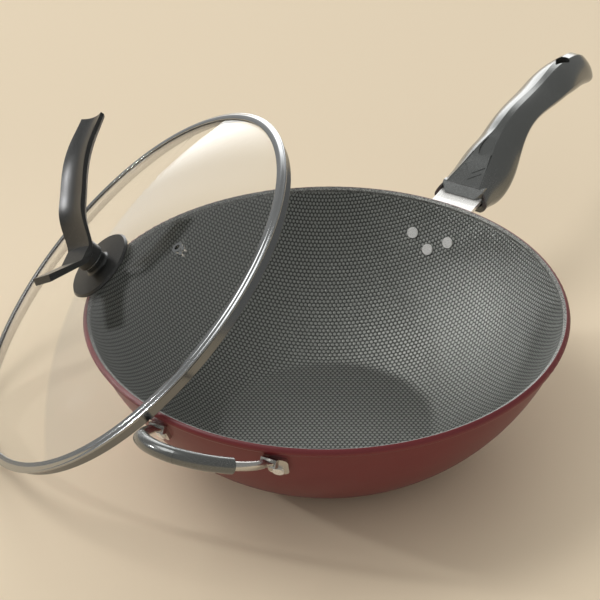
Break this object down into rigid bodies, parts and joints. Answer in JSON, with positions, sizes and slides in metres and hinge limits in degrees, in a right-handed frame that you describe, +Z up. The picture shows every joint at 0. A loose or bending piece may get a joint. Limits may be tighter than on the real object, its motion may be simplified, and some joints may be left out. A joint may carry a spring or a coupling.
{
  "type": "hand wok with lid",
  "caption": "Deep round wok with a long moulded handle, a small wire helper handle opposite and a domed glass lid leaning on its rim.",
  "frame": {"origin": "centre of the bowl's base, on the surface it stands on", "axes": "+X along the long handle, away from the bowl; +Z up through the bowl's axis"},
  "size_m": [0.6115, 0.4141, 0.2074],
  "materials": {
    "burgundy_shell": "satin",
    "bracket_steel": "bright",
    "rivet_aluminium": "satin",
    "handle_plastic": "gunmetal lacquer",
    "knob_plastic": "satin",
    "steel": "bright",
    "band_steel": "polished",
    "brass": "plain",
    "seal_rubber": "matte",
    "lid_glass": "clear"
  },
  "bodies": {
    "wok": {"wok_pan": "burgundy_shell", "handle_bracket": "bracket_steel", "handle_rivets": "rivet_aluminium", "handle_grip": "handle_plastic", "handle_screw": "steel", "handle_insert": "brass", "helper_rod": "steel", "helper_sleeve": "handle_plastic", "helper_lugs": "steel", "helper_rivets": "rivet_aluminium"},
    "lid": {"lid_glass": "lid_glass", "lid_rim_band": "band_steel", "rim_gasket": "seal_rubber", "vent_eyelet": "band_steel", "vent_pins": "band_steel", "knob_base": "knob_plastic", "knob_collar": "band_steel", "knob_handle": "knob_plastic", "knob_insert": "brass", "knob_gasket": "seal_rubber", "inner_gasket": "seal_rubber", "inner_washer": "steel", "spring_washer": "steel", "knob_screw": "steel"}
  },
  "joints": [
    {"name": "lid_lift", "type": "slide", "parent": "wok", "child": "lid", "axis": [0, 0, 1], "range_m": [0, 0.25]}
  ]
}
